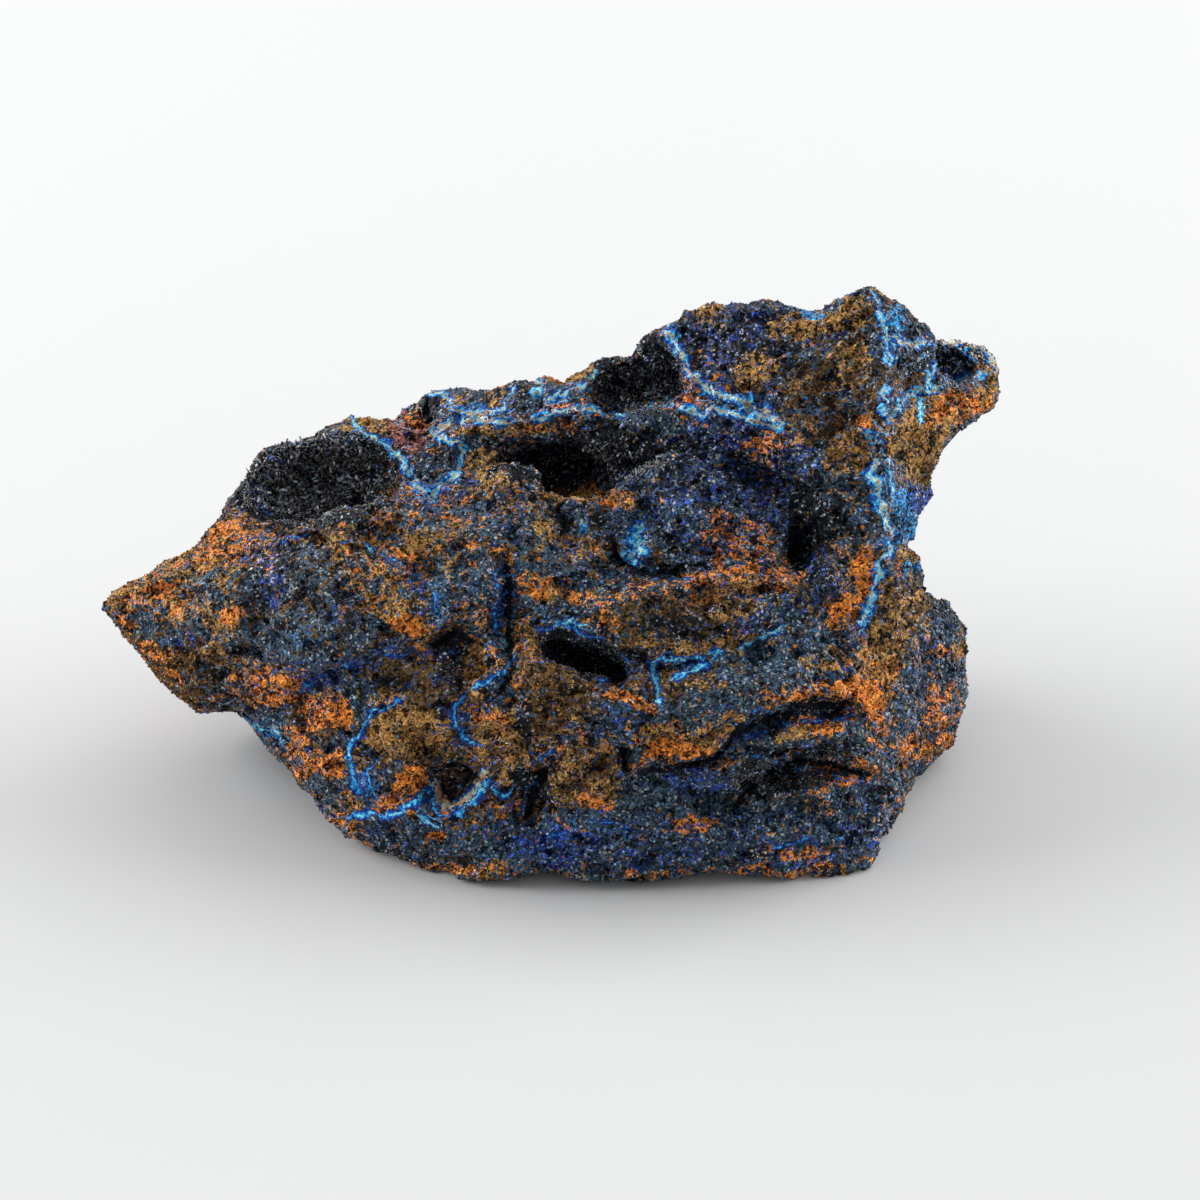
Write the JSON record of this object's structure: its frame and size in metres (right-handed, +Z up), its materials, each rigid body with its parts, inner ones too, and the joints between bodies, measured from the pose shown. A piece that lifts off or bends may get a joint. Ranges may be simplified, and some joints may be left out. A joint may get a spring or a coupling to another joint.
{
  "type": "azurite specimen",
  "caption": "Lump of rusty gossan with hollows lined by dark blue azurite crystals, pale copper veins and a pointed end, free-standing on its own underside.",
  "frame": {"origin": "on the surface that the lump rests on, under the middle of its bounding box", "axes": "+X along the lump's length, from the pointed snout to the horn; +Z up; the display side faces -Y"},
  "size_m": [0.1252, 0.0686, 0.0684],
  "materials": {
    "gossan": "rough, grainy rusty limonite speckled with azurite",
    "azurite": "small glossy dark blue crystals"
  },
  "bodies": {
    "root": {"gossan_matrix": "gossan", "azurite_crust_left_vug": "azurite", "azurite_crust_cavern": "azurite", "azurite_crust_upper_hollow": "azurite", "azurite_crust_slot": "azurite", "azurite_crust_horn_pocket": "azurite", "azurite_crust_ledge_slot": "azurite"}
  },
  "joints": []
}
